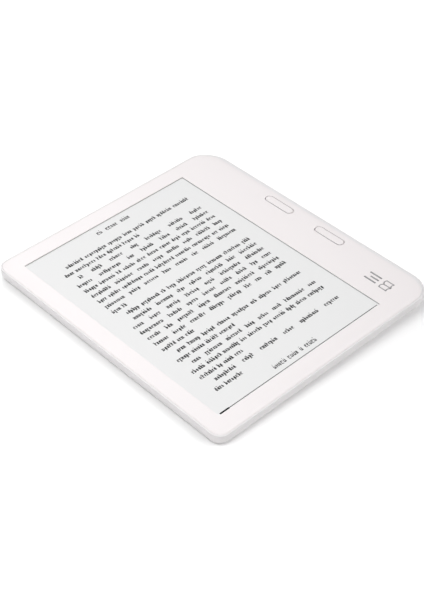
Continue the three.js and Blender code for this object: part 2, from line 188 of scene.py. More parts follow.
def edge_distance(x, y):
    """Distance in from the body's outline, and the outward direction's X part at the nearest edge."""
    r = np.where(x > 0, R_GRIP_CORNER, R_SCREEN_CORNER)
    qx = np.abs(x) - (HALF_W - r)
    qy = np.abs(y) - (HALF_H - r)
    reach = np.hypot(np.maximum(qx, 0), np.maximum(qy, 0))
    inside = np.minimum(np.maximum(qx, qy), 0)
    in_corner = (qx > 0) & (qy > 0)
    nx = np.where(in_corner, qx / np.maximum(reach, 1e-9), (qx > qy) * 1.0) * np.sign(x)
    return r - reach - inside, nx


def grip_share(nx):
    """1 on the grip's long edge, 0 on the other three, changing over round the grip's corners."""
    return smooth(0.1, 0.95, nx)


def face_height(x, y):
    """Front face: flat, but rolled down next to the edge by depth * (1 - distance / width) ** ROLL_POWER.
    The roll is wide and deep along the grip, narrow and slight elsewhere."""
    distance, nx = edge_distance(x, y)
    share = grip_share(nx)
    width = ROLL_WIDTH + GRIP_ROLL_WIDTH * share
    depth = ROLL_DEPTH + GRIP_ROLL_DEPTH * share
    return FACE_Z - depth * np.clip(1 - distance / width, 0, 1) ** ROLL_POWER


def back_height(x, y):
    """Back of the shell: two side views, joined as (across ** n + along ** n) ** (1 / n), where n is
    BACK_BLEND. Across, it is thin under the screen and ramps down to the grip's flat; along, it slopes up
    to both short ends."""
    t = (x - RAMP_X0) / (RAMP_X1 - RAMP_X0)
    step = (np.sqrt(t ** 2 + RAMP_KNEE ** 2) - np.sqrt((t - 1) ** 2 + RAMP_KNEE ** 2) + 1) / 2
    across = THIN_Z * (1 - np.clip(step, 0, 1))
    across = across + SIDE_RISE * soft_ramp((-HALF_W + SIDE_SLOPE - x) / SIDE_SLOPE, SIDE_KNEE)
    along = END_RISE * soft_ramp((np.abs(y) - HALF_H + END_SLOPE) / END_SLOPE, END_KNEE)
    flat = END_RISE * soft_ramp(-1.0, END_KNEE)
    powers = across ** BACK_BLEND + np.maximum(along - flat, 0) ** BACK_BLEND
    return powers ** (1 / BACK_BLEND)


def back_radius(nx):
    """Radius of the shell's lower edge, larger along the grip."""
    return BACK_EDGE_RADIUS + GRIP_EDGE_RADIUS * grip_share(nx)


# ---------------------------------------------------------------- meshes

SMOOTH_ANGLE = math.radians(35)


def shade(mesh):
    """Smooth shading, with sharp edges where faces meet at more than SMOOTH_ANGLE."""
    mesh.polygons.foreach_set("use_smooth", np.ones(len(mesh.polygons), bool))
    mesh.set_sharp_from_angle(angle=SMOOTH_ANGLE)


def new_piece(name, points, faces, material, body=BODY):
    """A mesh object from points in millimetres, riding on a body."""
    mesh = bpy.data.meshes.new(name)
    mesh.from_pydata((np.asarray(points) * MM).tolist(), [], faces)
    mesh.update()
    shade(mesh)
    mesh.materials.append(material)
    piece = bpy.data.objects.new(name, mesh)
    bpy.context.collection.objects.link(piece)
    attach(piece, body)
    return piece


def lift(ring, z):
    """A plane ring raised to a height, which may differ from point to point."""
    return np.column_stack([ring, np.broadcast_to(z, len(ring))])


def skin(rings, loop=False, cap_first=False, cap_last=False):
    """Points and faces of a closed skin over a stack of rings with equal counts. A loop joins the last
    ring to the first; a cap closes an end with a fan round its middle point."""
    stack = np.array(rings)
    rows, count = stack.shape[:2]
    points = stack.reshape(-1, 3)
    row = np.arange(rows if loop else rows - 1)[:, None]
    col = np.arange(count)[None, :]
    following = (row + 1) % rows
    nxt = (col + 1) % count
    quads = np.stack([row * count + col, row * count + nxt, following * count + nxt,
                      following * count + col], -1).reshape(-1, 4)
    faces = quads.tolist()
    here = np.arange(count)
    ahead = (here + 1) % count
    if cap_first:
        pole = len(points)
        points = np.vstack([points, stack[0].mean(0)])
        faces += np.stack([np.full(count, pole), ahead, here], 1).tolist()
    if cap_last:
        pole = len(points)
        base = (rows - 1) * count
        points = np.vstack([points, stack[-1].mean(0)])
        faces += np.stack([np.full(count, pole), base + here, base + ahead], 1).tolist()
    return points, faces


def cut_away(piece, cutters):
    """Takes cutter solids out of a piece and removes them."""
    for cutter in cutters:
        change = piece.modifiers.new("cut", "BOOLEAN")
        change.operation = "DIFFERENCE"
        change.solver = "EXACT"
        change.object = cutter
    bpy.context.view_layer.update()
    done = bpy.data.meshes.new_from_object(piece.evaluated_get(bpy.context.evaluated_depsgraph_get()))
    piece.modifiers.clear()
    old = piece.data
    piece.data = done
    done.name = old.name
    bpy.data.meshes.remove(old)
    shade(done)
    for cutter in cutters:
        bpy.data.objects.remove(cutter)


def cutter(points, faces):
    """A loose closed mesh used only to cut with."""
    mesh = bpy.data.meshes.new("cutter")
    mesh.from_pydata((np.asarray(points) * MM).tolist(), [], faces)
    mesh.update()
    made = bpy.data.objects.new("cutter", mesh)
    bpy.context.collection.objects.link(made)
    return made


def lathe(profile, cx, cy, sides=72):
    """Rings of a turned shape: each [radius, height] of the profile spun about an upright line."""
    t = np.arange(sides) / sides * 2 * math.pi
    circle = np.stack([np.cos(t), np.sin(t)], 1)
    return [lift(np.array([cx, cy]) + r * circle, z) for r, z in profile]


# ---------------------------------------------------------------- shader groups

def new_group(name, inputs, outputs):
    """An empty shader node group with float inputs (name, default) and outputs (name, socket type)."""
    group = bpy.data.node_groups.new(name, "ShaderNodeTree")
    for label, default in inputs:
        socket = group.interface.new_socket(label, in_out="INPUT", socket_type="NodeSocketFloat")
        socket.default_value = default
    for label, kind in outputs:
        group.interface.new_socket(label, in_out="OUTPUT", socket_type=kind)
    return group, group.nodes.new("NodeGroupInput"), group.nodes.new("NodeGroupOutput")


def math_node(tree, operation, a, b=None):
    """A Math node whose inputs are sockets or numbers."""
    node = tree.nodes.new("ShaderNodeMath")
    node.operation = operation
    for index, value in enumerate((a, b)):
        if value is None:
            continue
        if isinstance(value, (int, float)):
            node.inputs[index].default_value = value
        else:
            tree.links.new(value, node.inputs[index])
    return node.outputs[0]


def moulded_grain_group():
    """Spark-eroded mould grain: fine noise for height, and a slow drift of tone from handling."""
    group, given, result = new_group(
        "moulded_grain",
        [("Grain per metre", 4000.0), ("Drift per metre", 30.0)],
        [("Height", "NodeSocketFloat"), ("Drift", "NodeSocketFloat")])
    place = group.nodes.new("ShaderNodeTexCoord")
    grain = group.nodes.new("ShaderNodeTexNoise")
    grain.inputs["Detail"].default_value = 3
    grain.inputs["Roughness"].default_value = 0.6
    group.links.new(place.outputs["Object"], grain.inputs["Vector"])
    group.links.new(given.outputs["Grain per metre"], grain.inputs["Scale"])
    group.links.new(grain.outputs["Fac"], result.inputs["Height"])
    drift = group.nodes.new("ShaderNodeTexNoise")
    drift.inputs["Detail"].default_value = 2
    group.links.new(place.outputs["Object"], drift.inputs["Vector"])
    group.links.new(given.outputs["Drift per metre"], drift.inputs["Scale"])
    group.links.new(drift.outputs["Fac"], result.inputs["Drift"])
    return group


def dot_field_group():
    """Rows of small round dots, every other row moved half a step: 1 in a dot, 0 between."""
    group, given, result = new_group("dot_field", [("Dots per metre", 620.0)], [("Dots", "NodeSocketFloat")])
    place = group.nodes.new("ShaderNodeTexCoord")
    parts = group.nodes.new("ShaderNodeSeparateXYZ")
    group.links.new(place.outputs["Object"], parts.inputs[0])
    u = math_node(group, "MULTIPLY", parts.outputs["X"], given.outputs["Dots per metre"])
    v = math_node(group, "MULTIPLY", parts.outputs["Y"], given.outputs["Dots per metre"])
    row = math_node(group, "FLOOR", v)
    odd_row = math_node(group, "MODULO", math_node(group, "ABSOLUTE", row), 2.0)
    shift = math_node(group, "MULTIPLY", odd_row, 0.5)
    du = math_node(group, "SUBTRACT", math_node(group, "FRACT", math_node(group, "ADD", u, shift)), 0.5)
    dv = math_node(group, "SUBTRACT", math_node(group, "FRACT", v), 0.5)
    du_squared = math_node(group, "MULTIPLY", du, du)
    dv_squared = math_node(group, "MULTIPLY", dv, dv)
    away = math_node(group, "SQRT", math_node(group, "ADD", du_squared, dv_squared))
    edge = group.nodes.new("ShaderNodeMapRange")
    edge.interpolation_type = "SMOOTHSTEP"
    edge.inputs["From Min"].default_value = 0.34
    edge.inputs["From Max"].default_value = 0.2
    group.links.new(away, edge.inputs["Value"])
    group.links.new(edge.outputs["Result"], result.inputs["Dots"])
    return group


GRAIN = moulded_grain_group()
DOTS = dot_field_group()


# ---------------------------------------------------------------- materials

def base_material(name, color, roughness, metallic=0.0, specular=0.5):
    """A node material with one Principled BSDF and its constants."""
    material = bpy.data.materials.new(name)
    material.use_nodes = True
    bsdf = material.node_tree.nodes["Principled BSDF"]
    bsdf.inputs["Base Color"].default_value = (*color, 1)
    bsdf.inputs["Roughness"].default_value = roughness
    bsdf.inputs["Metallic"].default_value = metallic
    bsdf.inputs["Specular IOR Level"].default_value = specular
    return material, material.node_tree, bsdf


def mix_colors(tree, factor, low, high):
    """A colour mix between two constants, by a factor."""
    node = tree.nodes.new("ShaderNodeMix")
    node.data_type = "RGBA"
    node.inputs["A"].default_value = (*low, 1)
    node.inputs["B"].default_value = (*high, 1)
    tree.links.new(factor, node.inputs["Factor"])
    return node.outputs["Result"]


def add_bump(tree, bsdf, height, strength, depth):
    """Bump from a height, in metres of depth."""
    bump = tree.nodes.new("ShaderNodeBump")
    bump.inputs["Strength"].default_value = strength
    bump.inputs["Distance"].default_value = depth
    tree.links.new(height, bump.inputs["Height"])
    tree.links.new(bump.outputs["Normal"], bsdf.inputs["Normal"])


ROUGHNESS_DRIFT = 0.06
GRAIN_STRENGTH = 0.35


def grained(name, color, roughness, grain=4000.0, depth=0.00003, drift=0.03, metallic=0.0, specular=0.5):
    """A moulded or cast finish: grain in the bump, and a slow drift in colour and roughness."""
    material, tree, bsdf = base_material(name, color, roughness, metallic, specular)
    group = tree.nodes.new("ShaderNodeGroup")
    group.node_tree = GRAIN
    group.inputs["Grain per metre"].default_value = grain
    tone = mix_colors(tree, group.outputs["Drift"], [c * (1 - drift) for c in color],
                      [min(c * (1 + drift), 1) for c in color])
    tree.links.new(tone, bsdf.inputs["Base Color"])
    spread = tree.nodes.new("ShaderNodeMapRange")
    spread.inputs["To Min"].default_value = roughness - ROUGHNESS_DRIFT
    spread.inputs["To Max"].default_value = roughness + ROUGHNESS_DRIFT
    tree.links.new(group.outputs["Drift"], spread.inputs["Value"])
    tree.links.new(spread.outputs["Result"], bsdf.inputs["Roughness"])
    add_bump(tree, bsdf, group.outputs["Height"], GRAIN_STRENGTH, depth)
    return material


DOT_STRENGTH = 0.8
DOT_DEPTH = 0.00012
DOT_FACING = (-0.9, -0.97)
# where the painted shade on the grip's roll starts and where it is full, by the X part of the surface's
# direction
ROLL_SHADE_FACING = (0.14, 0.36)


def textured_back(name, color, roughness):
    """The shell's finish: mould grain all over, and rows of small raised dots where it faces down."""
    material = grained(name, color, roughness, drift=0.006)
    tree = material.node_tree
    grain_bump = next(node for node in tree.nodes if node.bl_idname == "ShaderNodeBump")
    dots = tree.nodes.new("ShaderNodeGroup")
    dots.node_tree = DOTS
    place = tree.nodes.new("ShaderNodeTexCoord")
    parts = tree.nodes.new("ShaderNodeSeparateXYZ")
    tree.links.new(place.outputs["Normal"], parts.inputs[0])
    facing_down = tree.nodes.new("ShaderNodeMapRange")
    facing_down.interpolation_type = "SMOOTHSTEP"
    facing_down.inputs["From Min"].default_value = DOT_FACING[0]
    facing_down.inputs["From Max"].default_value = DOT_FACING[1]
    tree.links.new(parts.outputs["Z"], facing_down.inputs["Value"])
    height = math_node(tree, "MULTIPLY", dots.outputs["Dots"], facing_down.outputs["Result"])
    dot_bump = tree.nodes.new("ShaderNodeBump")
    dot_bump.inputs["Strength"].default_value = DOT_STRENGTH
    dot_bump.inputs["Distance"].default_value = DOT_DEPTH
    tree.links.new(height, dot_bump.inputs["Height"])
    tree.links.new(grain_bump.outputs["Normal"], dot_bump.inputs["Normal"])
    tree.links.new(dot_bump.outputs["Normal"], tree.nodes["Principled BSDF"].inputs["Normal"])
    return material


def painted_roll_shade(material, color):
    """Painted shade: turns a finish to a darker grey where the face rolls over to the grip's side, standing
    in for the shade that falls on that roll. ROLL_SHADE_FACING holds the X parts of the surface's direction
    between which it changes."""
    tree = material.node_tree
    bsdf = tree.nodes["Principled BSDF"]
    own_tone = bsdf.inputs["Base Color"].links[0].from_socket
    place = tree.nodes.new("ShaderNodeTexCoord")
    parts = tree.nodes.new("ShaderNodeSeparateXYZ")
    tree.links.new(place.outputs["Normal"], parts.inputs[0])
    rolled = tree.nodes.new("ShaderNodeMapRange")
    rolled.inputs["From Min"].default_value = ROLL_SHADE_FACING[0]
    rolled.inputs["From Max"].default_value = ROLL_SHADE_FACING[1]
    tree.links.new(parts.outputs["X"], rolled.inputs["Value"])
    mixed = mix_colors(tree, rolled.outputs["Result"], color, color)
    tree.links.new(own_tone, mixed.node.inputs["A"])
    tree.links.new(mixed, bsdf.inputs["Base Color"])


BEZEL_WHITE = (0.815, 0.776, 0.780)
# painted shade: the grey that the grip's rolled edge is turned to, as if that edge lay in shade
ROLL_SHADE_GREY = (0.715, 0.720, 0.730)
SHELL_WHITE = (0.758, 0.736, 0.740)
PAPER_GREY = (0.53, 0.53, 0.53)
PAPER_LIGHT = 0.24
INK = (0.028, 0.028, 0.030)
MARK_GREY = (0.33, 0.325, 0.33)
# the seal's grey: partly its own colour, partly painted shade for the foot of the window's wall
SEAL_AND_SHADE_GREY = (0.38, 0.375, 0.37)

bezel_plastic = grained("bezel_plastic", BEZEL_WHITE, 0.48, drift=0.006)
# painted shade on the bezel's roll along the grip
painted_roll_shade(bezel_plastic, ROLL_SHADE_GREY)
shell_plastic = textured_back("shell_plastic", SHELL_WHITE, 0.55)
button_plastic = grained("button_plastic", BEZEL_WHITE, 0.42, drift=0.006)
page_paper = grained("page_paper", PAPER_GREY, 0.62, grain=9000.0, depth=0.00001, drift=0.008, specular=0.3)
page_paper.node_tree.nodes["Principled BSDF"].inputs["Emission Color"].default_value = (1, 1, 1, 1)
page_paper.node_tree.nodes["Principled BSDF"].inputs["Emission Strength"].default_value = PAPER_LIGHT
page_ink = grained("page_ink", INK, 0.6, grain=9000.0, depth=0.00001, drift=0.1, specular=0.3)
mark_grey = grained("mark_grey", MARK_GREY, 0.55, drift=0.04)
# the seal's finish, which also paints the shade at the foot of the window's wall
seal_and_shade_grey = grained("seal_and_shade_grey", SEAL_AND_SHADE_GREY, 0.8, grain=2500, drift=0.05)


# ---------------------------------------------------------------- rear shell

def rear_shell():
    """Rings from the middle of the back outwards, up the wall, over the rim, down to the ledge and
    over the inside to the middle of the floor. Outside height is back_height plus a quarter round."""
    rings = []
    insets = np.array([5.0, 3.6, 2.6, 1.9, 1.35, 0.9, 0.55, 0.28, 0.1, 0.0])
    inner_start = body_ring(insets[0])
    for s in np.concatenate([np.linspace(0.02, 0.9, 44), np.linspace(0.92, 0.985, 6)]):
        ring = inner_start * s
        rings.append(lift(ring, back_height(*ring.T)))
    for inset in insets:
        ring = body_ring(inset)
        nx = edge_distance(*body_ring(0).T)[1]
        r = back_radius(nx)
        fall = np.clip(r - inset, 0, None)
        rings.append(lift(ring, back_height(*ring.T) + r - np.sqrt(r ** 2 - fall ** 2)))
    edge = body_ring(0)
    low = rings[-1][:, 2]
    top = face_height(*edge.T) - LIP
    for t in (0.25, 0.5, 0.75, 1.0):
        rings.append(lift(edge, low + (top - low) * t))
    for angle in np.radians([18, 36, 54, 72, 90]):
        ring = body_ring(LIP * (1 - math.cos(angle)))
        rings.append(lift(ring, face_height(*ring.T) - LIP * (1 - math.sin(angle))))
    for inset in (0.35, 0.6, RIM - RIM_EDGE):
        ring = body_ring(inset)
        rings.append(lift(ring, face_height(*ring.T)))
    ring = body_ring(RIM)
    rings.append(lift(ring, face_height(*ring.T) - RIM_EDGE))
    rings.append(lift(ring, LEDGE_Z))
    ring = body_ring(WALL)
    rings.append(lift(ring, LEDGE_Z))
    for inset, fillet in ((WALL, 1.4), (3.4, 0.2), (5.0, 0.0)):
        ring = body_ring(inset)
        rings.append(lift(ring, back_height(*ring.T) + FLOOR + fillet))
    for s in np.linspace(0.95, 0.02, 24):
        ring = inner_start * s
        rings.append(lift(ring, back_height(*ring.T) + FLOOR))
    points, faces = skin(rings, cap_first=True, cap_last=True)
    shell = new_piece("rear_shell_skin", points, faces, shell_plastic)
    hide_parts("rear_shell")
    cut_away(shell, [port_cutter(), power_cutter(), light_cutter()])


PORT_LOW, PORT_HIGH = box_mm("charging_port_shell")
POWER_LOW, POWER_HIGH = box_mm("power_button")
POWER_X, POWER_Y = (POWER_LOW[:2] + POWER_HIGH[:2]) / 2
LIGHT_LOW, LIGHT_HIGH = box_mm("power_light_pipe")
LIGHT_X, LIGHT_Y = (LIGHT_LOW[:2] + LIGHT_HIGH[:2]) / 2
PORT_GAP = 0.12
PORT_LEAD_IN = 0.4
PORT_LEAD_DEPTH = 0.25


def port_section(grow, x, steps=16):
    """The charging port's lying stadium at one depth."""
    half = (PORT_HIGH[2] - PORT_LOW[2]) / 2 + grow
    reach = (PORT_HIGH[1] - PORT_LOW[1]) / 2 + grow - half
    cy = (PORT_HIGH[1] + PORT_LOW[1]) / 2
    cz = (PORT_HIGH[2] + PORT_LOW[2]) / 2
    t = np.linspace(-math.pi / 2, math.pi / 2, steps)
    right = np.stack([cy + reach + half * np.cos(t), cz + half * np.sin(t)], 1)
    left = np.stack([cy - reach - half * np.cos(t), cz - half * np.sin(t)], 1)
    ring = np.concatenate([right, left])
    return np.column_stack([np.full(len(ring), x), ring])


def port_cutter():
    """The hole for the charging port, with a small lead-in at the wall's face."""
    rings = [port_section(PORT_GAP, PORT_LOW[0] - 0.5), port_section(PORT_GAP, HALF_W - PORT_LEAD_DEPTH),
             port_section(PORT_LEAD_IN, HALF_W + 0.03), port_section(PORT_LEAD_IN, HALF_W + 1)]
    return cutter(*skin(rings, cap_first=True, cap_last=True))


def power_cutter():
    """The hole for the power button, with a shallow finger dish round it."""
    profile = [(8.2, -1.0), (8.2, 0.0), (6.6, 0.16), (5.2, 0.34), (4.75, 0.4), (4.66, 0.6), (4.66, 3.0)]
    return cutter(*skin(lathe(profile, POWER_X, POWER_Y), cap_first=True, cap_last=True))


def light_cutter():
    """The hole for the power light's pipe."""
    profile = [(1.15, -1.0), (1.1, 0.0), (0.98, 0.12), (0.98, 3.0)]
    return cutter(*skin(lathe(profile, LIGHT_X, LIGHT_Y, 32), cap_first=True, cap_last=True))


# ---------------------------------------------------------------- front bezel

BUTTONS = {name: box_mm(f"page_button_{name}") for name in ("upper", "lower")}
SLOT_SIZE = (5.12, 19.17)
SLOT_EASE = 0.05
BUTTON_GAP = 0.54
BUTTON_PROUD = 0.12
BUTTON_ROUND = 0.1
BUTTON_CROWN = 0.08


def button_centre(name):
    """Middle of a page button, seen from the front."""
    low, high = BUTTONS[name]
    return (low[:2] + high[:2]) / 2


def front_bezel():
    """A plate lofted from its seam with the shell's rim to the window: the top follows face_height,
    the window's edge is rounded over, and the underside has a pocket for the screen."""
    rings = []
    outer = RIM + SEAM
    rings.append(lift(body_ring(outer), PLATE_LOW))
    rings.append(lift(body_ring(outer), face_height(*body_ring(outer).T) - PLATE_EASE))
    start = body_ring(outer + PLATE_EASE)
    end = window_ring(WINDOW_ROUND)
    for s in np.concatenate([[0, 0.03, 0.07, 0.12, 0.2], np.linspace(0.3, 1, 10)]):
        ring = start * (1 - s) + end * s
        rings.append(lift(ring, face_height(*ring.T)))
    for angle in np.radians([22, 45, 67, 90]):
        ring = window_ring(WINDOW_ROUND * (1 - math.sin(angle)))
        rings.append(lift(ring, FACE_Z - WINDOW_ROUND * (1 - math.cos(angle))))
    pocket_z = SEAL_HIGH[2] + POCKET_GAP
    rings.append(lift(window_ring(0), pocket_z))
    rings.append(lift(window_ring(POCKET_REACH), pocket_z))
    rings.append(lift(window_ring(POCKET_REACH), PLATE_LOW))
    points, faces = skin(rings, loop=True)
    bezel = new_piece("front_bezel_plate", points, faces, bezel_plastic)
    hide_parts("front_bezel")
    cut_away(bezel, [slot_cutter(name) for name in BUTTONS])


def slot_cutter(name):
    """A pill-shaped slot whose top edge flares by SLOT_EASE."""
    cx, cy = button_centre(name)
    width, length = SLOT_SIZE
    straight = pill_ring(cx, cy, width, length)
    flared = pill_ring(cx, cy, width + 2 * SLOT_EASE, length + 2 * SLOT_EASE)
    rings = [lift(straight, PLATE_LOW - 1), lift(straight, FACE_Z - SLOT_EASE),
             lift(flared, FACE_Z + 0.02), lift(flared, FACE_Z + 1)]
    return cutter(*skin(rings, cap_first=True, cap_last=True))


def window_seal_and_shade():
    """The seal between bezel and film, which shows as a grey line along the foot of the window's wall: a
    stepped profile of SEAL_SHOWS past the window's edge, carried round the window. The line is partly the
    seal and partly painted shade: its grey lip, raised SEAL_SHADE_RISE up the wall, darkens the wall's foot
    where the recess falls into shade."""
    reach = SEAL_HIGH[0] - WIN_X1
    lip_top = SEAL_HIGH[2] + SEAL_SHADE_RISE
    rings = [lift(window_ring(reach), SEAL_LOW[2]), lift(window_ring(reach), SEAL_HIGH[2]),
             lift(window_ring(0), SEAL_HIGH[2]), lift(window_ring(0), lip_top),
             lift(window_ring(-SEAL_SHOWS), lip_top), lift(window_ring(-SEAL_SHOWS), SEAL_LOW[2])]
    points, faces = skin(rings, loop=True)
    seal = new_piece("window_seal_and_shade", points, faces, seal_and_shade_grey)
    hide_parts("window_gasket")


# ---------------------------------------------------------------- page buttons

def page_button(name):
    """A pill cap with a rounded edge, a little proud of the face, over a flange that holds it in the plate.
    Its crown falls with the square of the distance from the spine between the two round ends."""
    low, high = BUTTONS[name]
    cx, cy = button_centre(name)
    width, length = SLOT_SIZE[0] - 2 * BUTTON_GAP, SLOT_SIZE[1] - 2 * BUTTON_GAP
    flange = (high - low)[:2]
    flange_top = PLATE_LOW - 0.05
    rings = [lift(pill_ring(cx, cy, *flange), low[2]), lift(pill_ring(cx, cy, *flange), flange_top),
             lift(pill_ring(cx, cy, width, length), flange_top)]
    top = FACE_Z + BUTTON_PROUD
    for angle in np.radians([0, 22, 45, 67, 90]):
        inset = 2 * BUTTON_ROUND * (1 - math.cos(angle))
        ring = pill_ring(cx, cy, width - inset, length - inset)
        rings.append(lift(ring, top - BUTTON_ROUND * (1 - math.sin(angle))))
    core = pill_ring(cx, cy, width - 2 * BUTTON_ROUND, length - 2 * BUTTON_ROUND)
    spine = np.column_stack([np.full(len(core), cx),
                             np.clip(core[:, 1], cy - (length - width) / 2, cy + (length - width) / 2)])
    for s in (0.8, 0.6, 0.4, 0.2, 0.04):
        rings.append(lift(spine + (core - spine) * s, top + BUTTON_CROWN * (1 - s ** 2)))
    points, faces = skin(rings, cap_first=True, cap_last=True)
    cap = new_piece(f"page_button_{name}_cap", points, faces, button_plastic, f"{name}_button_body")
    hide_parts(f"page_button_{name}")


# ---------------------------------------------------------------- power button and its light

POWER_CAP_R = 4.46
POWER_FLANGE_Z = FLOOR + 0.06


def power_button():
    """A turned cap with a shallow dish, seen in the back of the grip, over a flange inside the floor."""
    flange_r = (POWER_HIGH[0] - POWER_LOW[0]) / 2
    top = POWER_HIGH[2]
    z = POWER_LOW[2]
    profile = [(0.05, z + 0.24), (1.2, z + 0.22), (2.4, z + 0.15), (3.4, z + 0.05), (3.9, z + 0.01),
               (4.2, z + 0.02), (4.4, z + 0.12), (POWER_CAP_R, z + 0.3), (POWER_CAP_R, POWER_FLANGE_Z),
               (flange_r, POWER_FLANGE_Z), (flange_r, top), (0.05, top)]
    points, faces = skin(lathe(profile, POWER_X, POWER_Y), cap_first=True, cap_last=True)
    cap = new_piece("power_button_cap", points, faces, button_plastic, "power_button_body")
    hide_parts("power_button")


# ---------------------------------------------------------------- the page on the screen

def stroke(path, widths):
    """A pen stroke as stations of a right and a left point: each path point is spread to both sides,
    square to the path, by half its width."""
    path = np.asarray(path, float)
    widths = np.broadcast_to(widths, len(path))
    along = np.gradient(path, axis=0)
    across = np.stack([-along[:, 1], along[:, 0]], 1)
    across /= np.linalg.norm(across, axis=1)[:, None]
    spread = across * widths[:, None] / 2
    return np.stack([path - spread, path + spread], 1)


def bow(x, low, high, bulge, thick, thin):
    """An upright bow from the top of its span to the foot: half an ellipse, thick where it runs upright
    and thin where it lies."""
    t = np.linspace(-1, 1, 6) * math.pi * 0.46
    path = np.stack([x + bulge * (np.cos(t) - 1), (low + high) / 2 + (high - low) / 2 * np.sin(t)], 1)
    return stroke(path, thin + (thick - thin) * np.cos(t) ** 1.5)


def upright(x, low, high, thick, thin, serif):
    """A straight stem, with a foot on both sides and a flag on the left of its head."""
    parts = [stroke([(x, low), (x, high)], thick)]
    if serif:
        foot = thick * 0.5 + 0.13
        parts.append(stroke([(x - foot, low + thin / 2), (x + foot, low + thin / 2)], thin))
        parts.append(stroke([(x - foot, high - thin * 0.9), (x, high - thin / 2)], thin * 1.3))
    return parts


def dummy_sign(number, draw, thick, thin, serif, low, high):
    """One made-up sign of no alphabet, one unit tall. Its left is a stem or a bow, its right is a stem,
    a bow or an arm, and one bar joins them away from head and foot, so that no letter comes out."""
    width = draw.uniform(0.47, 0.76)
    left = thick / 2 + 0.02
    right = width - thick / 2
    parts = []
    if number % 2:
        parts += upright(left, low, high, thick, thin, serif)
    else:
        parts.append(bow(left, min(low, 0.0), 1.0, -(width * 0.3), thick, thin))
    kind = number % 3
    if kind == 0:
        parts += upright(right, 0.0, 1.0 if number % 2 else high, thick, thin, serif)
    elif kind == 1:
        parts.append(bow(right, 0.0, draw.uniform(0.7, 1.02), width * 0.34, thick, thin))
    else:
        parts.append(stroke([(left, 0.9), (right, 0.97)], thin * 1.2))
        parts.append(stroke([(right, 1.0), (right, 0.62)], thick * 0.8))
        parts.append(stroke([(left, 0.1), (right + 0.05, 0.04)], thin * 1.2))
    y = (0.2, 0.56, 0.82)[(number // 2) % 3]
    parts.append(stroke([(left, y), (right, y + draw.uniform(-0.1, 0.14))], thin * 1.2))
    if number % 5 == 1 and high <= 1:
        parts.append(stroke([(width / 2, 1.28), (width / 2, 1.28 + thick * 0.9)], thick * 0.9))
    return parts, width + 0.15


def sign_set(seed, thick, thin, serif, tall):
    """Twenty made-up signs: most of them low, some with a riser, a few with a tail."""
    draw = np.random.default_rng(seed)
    heights = [(0.0, 1.0)] * 10 + [(0.0, tall)] * 7 + [(-0.42, 1.0)] * 3
    return [dummy_sign(number, draw, thick, thin, serif, *span) for number, span in enumerate(heights)]


def set_words(draw, signs, room):
    """Words of two to ten signs that fill a room, given in units of the sign height, with plain spaces."""
    words = []
    used = 0.0
    while True:
        word = draw.integers(0, len(signs), draw.choice(np.arange(2, 11), p=WORD_LENGTH_SHARES))
        width = sum(signs[k][1] for k in word)
        if words and used + width > room:
            return words
        words.append((word, width))
        used += width + WORD_SPACE


def set_line(signs, words, x, baseline, size, spread=None):
    """Strokes of one line of words, in millimetres. With a spread width the spaces are stretched so that
    the last word ends on it."""
    strokes = []
    natural = sum(width for _, width in words) * size
    space = WORD_SPACE * size
    if spread is not None and len(words) > 1:
        space = (spread - natural) / (len(words) - 1)
    for word, _ in words:
        for k in word:
            parts, width = signs[k]
            strokes += [part * size + np.array([x, baseline]) for part in parts]
            x += width * size
        x += space
    return strokes


COLUMN_X0 = -52.4
COLUMN_X1 = 33.8
FIRST_BASELINE = 54.7
LINE_PITCH = 5.12
LINE_COUNT = 23
SIGN_SIZE = 1.72
INDENT = 4.6
INDENTED_LINES = (1, 3, 10, 11, 17, 19, 22)
LOOSE_LINES = (3, 4, 6, 8, 11, 12, 13, 14, 15, 22)
LOOSE_SHARE = 0.86
SHORT_LINES = {2: 0.58, 9: 0.13, 16: 0.25, 18: 0.47, 21: 0.33, 23: 0.23}
WORD_LENGTH_SHARES = (0.06, 0.12, 0.13, 0.16, 0.16, 0.14, 0.11, 0.07, 0.05)
WORD_SPACE = 0.68
COLUMN_SIGNS_SEED = 7
COLUMN_WORDS_SEED = 21


def body_lines():
    """The page's column: spread lines, indented first lines, and short last lines of paragraphs."""
    signs = sign_set(COLUMN_SIGNS_SEED, 0.3, 0.12, True, 1.42)
    draw = np.random.default_rng(COLUMN_WORDS_SEED)
    strokes = []
    for line in range(1, LINE_COUNT + 1):
        x = COLUMN_X0 + (INDENT if line in INDENTED_LINES else 0)
        spread = COLUMN_X1 - x
        room = spread * (LOOSE_SHARE if line in LOOSE_LINES else 1.0)
        if line in SHORT_LINES:
            room = (COLUMN_X1 - COLUMN_X0) * SHORT_LINES[line]
            spread = None
        words = set_words(draw, signs, room / SIGN_SIZE)
        strokes += set_line(signs, words, x, FIRST_BASELINE - (line - 1) * LINE_PITCH, SIGN_SIZE, spread)
    return strokes


RUNNING_SIZE = 2.05
RUNNING_FILL = 0.88


def running_line(seed, centre_x, baseline, width, counts):
    """A header or footer of plain signs without serifs, spread to a width about a centre. The signs take
    up at most the share RUNNING_FILL of it."""
    signs = sign_set(seed, 0.2, 0.15, False, 1.0)
    draw = np.random.default_rng(seed + 1)
    words = []
    for count in counts:
        word = draw.integers(0, 10, count)
        words.append((word, sum(signs[k][1] for k in word)))
    natural = sum(width for _, width in words) * RUNNING_SIZE
    size = RUNNING_SIZE * min(1.0, RUNNING_FILL * width / natural)
    return set_line(signs, words, centre_x - width / 2, baseline, size, width)


